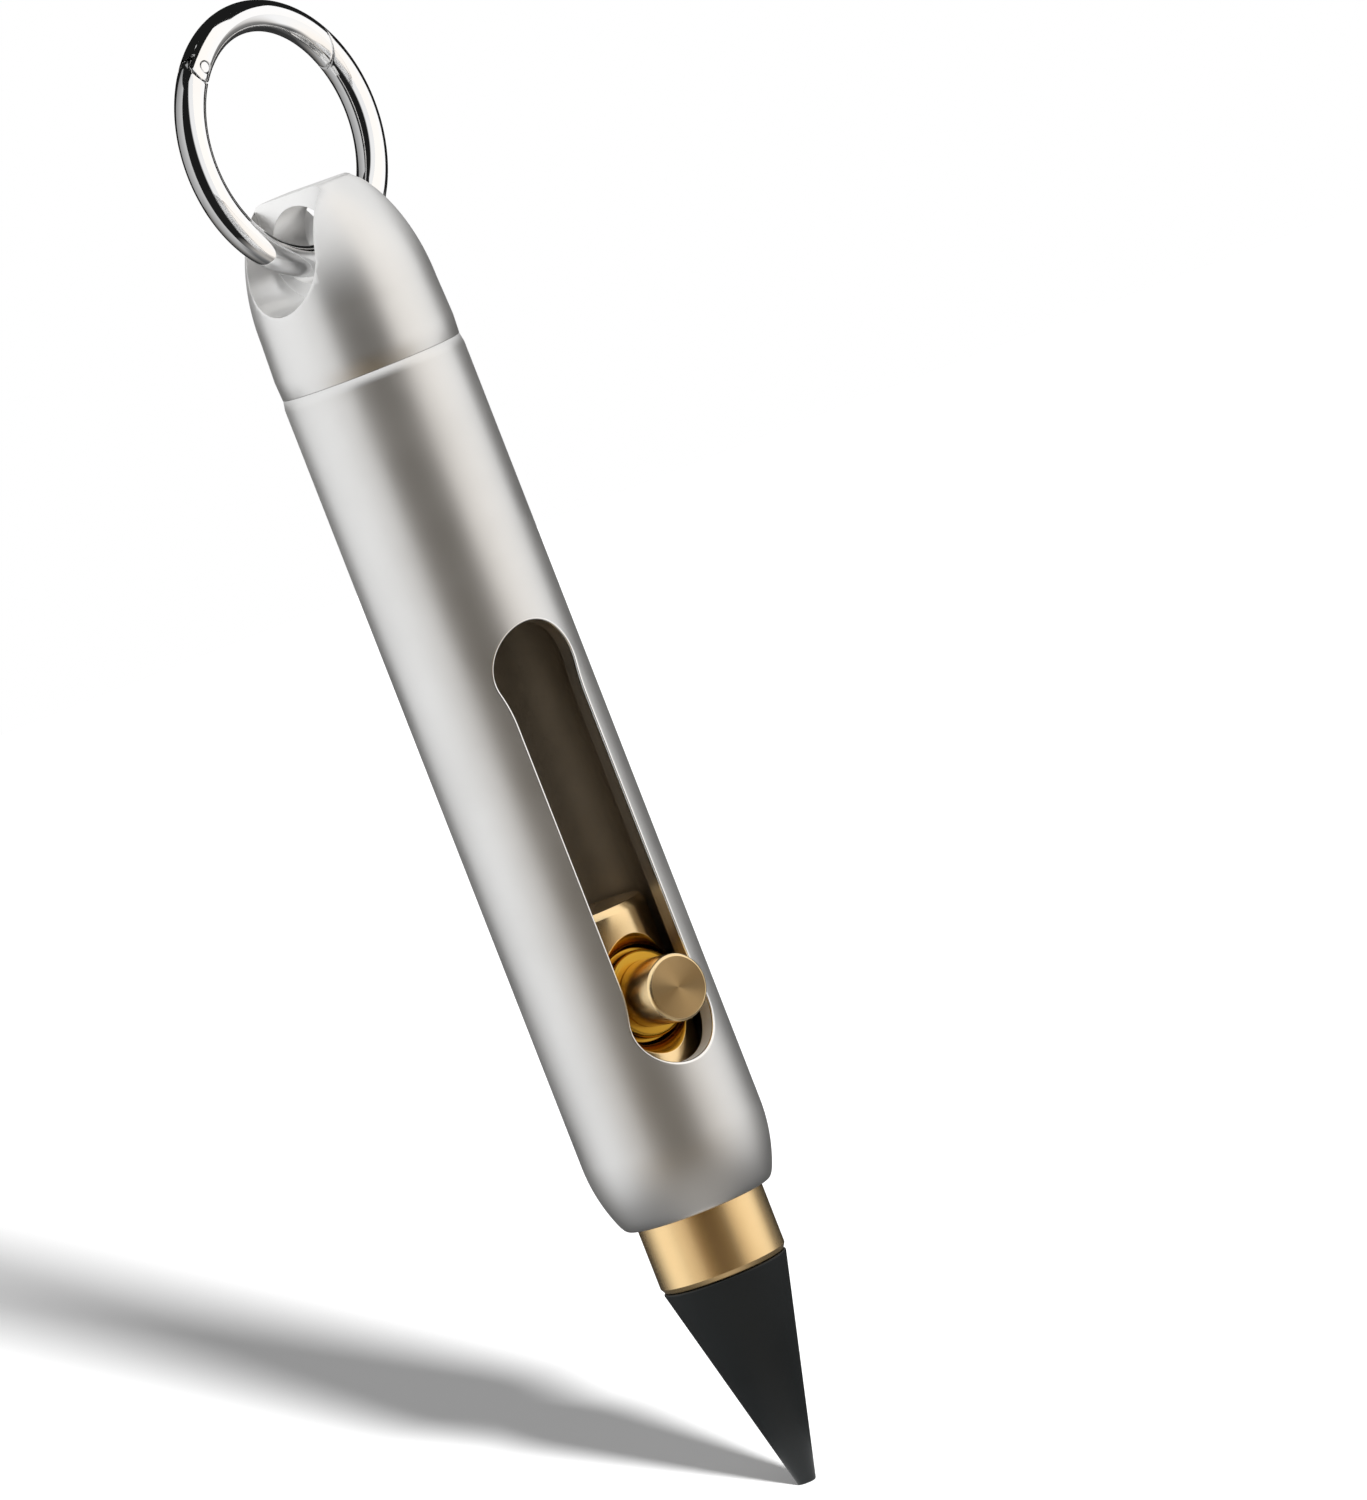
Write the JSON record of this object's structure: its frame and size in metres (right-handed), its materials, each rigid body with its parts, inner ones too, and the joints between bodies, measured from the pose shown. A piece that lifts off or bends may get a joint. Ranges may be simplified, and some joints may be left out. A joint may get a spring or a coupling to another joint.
{
  "type": "inkless pencil",
  "caption": "Pocket pencil with a permanent black metal point that slides in and out of a steel barrel by a sprung brass thumb knob in a keyhole slot, hung from a spring-gate key ring.",
  "frame": {"origin": "centre of the writing point's flat end", "axes": "+Z along the pencil from the point to the key ring, the thumb knob faces -Y"},
  "size_m": [0.0164, 0.0129, 0.0953],
  "materials": {
    "satin_steel": "bead-blasted satin stainless steel",
    "brass": "satin turned brass",
    "polished_brass": "polished brass with a turned face",
    "graphite_alloy": "matt black graphite compound",
    "chrome": "mirror chrome plate",
    "spring_steel": "plain drawn steel wire"
  },
  "bodies": {
    "key_ring": {"ring_body": "chrome"},
    "gate": {"ring_gate": "chrome", "gate_pin": "spring_steel", "gate_spring": "spring_steel", "gate_plunger": "spring_steel"},
    "barrel": {"barrel": "satin_steel", "end_cap": "satin_steel"},
    "slide": {"slide": "brass", "nib_ferrule": "brass", "writing_point": "graphite_alloy", "lock_spring": "spring_steel"},
    "lock": {"lock_plunger": "brass", "slide_knob": "polished_brass"}
  },
  "joints": [
    {"name": "ring_swing", "type": "hinge", "parent": "key_ring", "child": "barrel", "pos_m": [0, 0, 0.07923], "axis": [0.9558, 0.294, 0], "range_deg": [-85, 85]},
    {"name": "gate_swing", "type": "hinge", "parent": "key_ring", "child": "gate", "pos_m": [-0.00475, -0.00146, 0.09251], "axis": [-0.294, 0.9558, 0], "range_deg": [0, 25], "stiffness_Nm_per_rad": 0.02, "springref_deg": -17.19},
    {"name": "point_slide", "type": "slide", "parent": "barrel", "child": "slide", "axis": [0, 0, 1], "range_m": [-0.0016, 0.02069]},
    {"name": "lock_press", "type": "slide", "parent": "slide", "child": "lock", "axis": [0, 1, 0], "range_m": [0, 0.0008], "stiffness_N_per_m": 400, "springref_m": -0.001, "deforming": ["lock_spring"]}
  ]
}
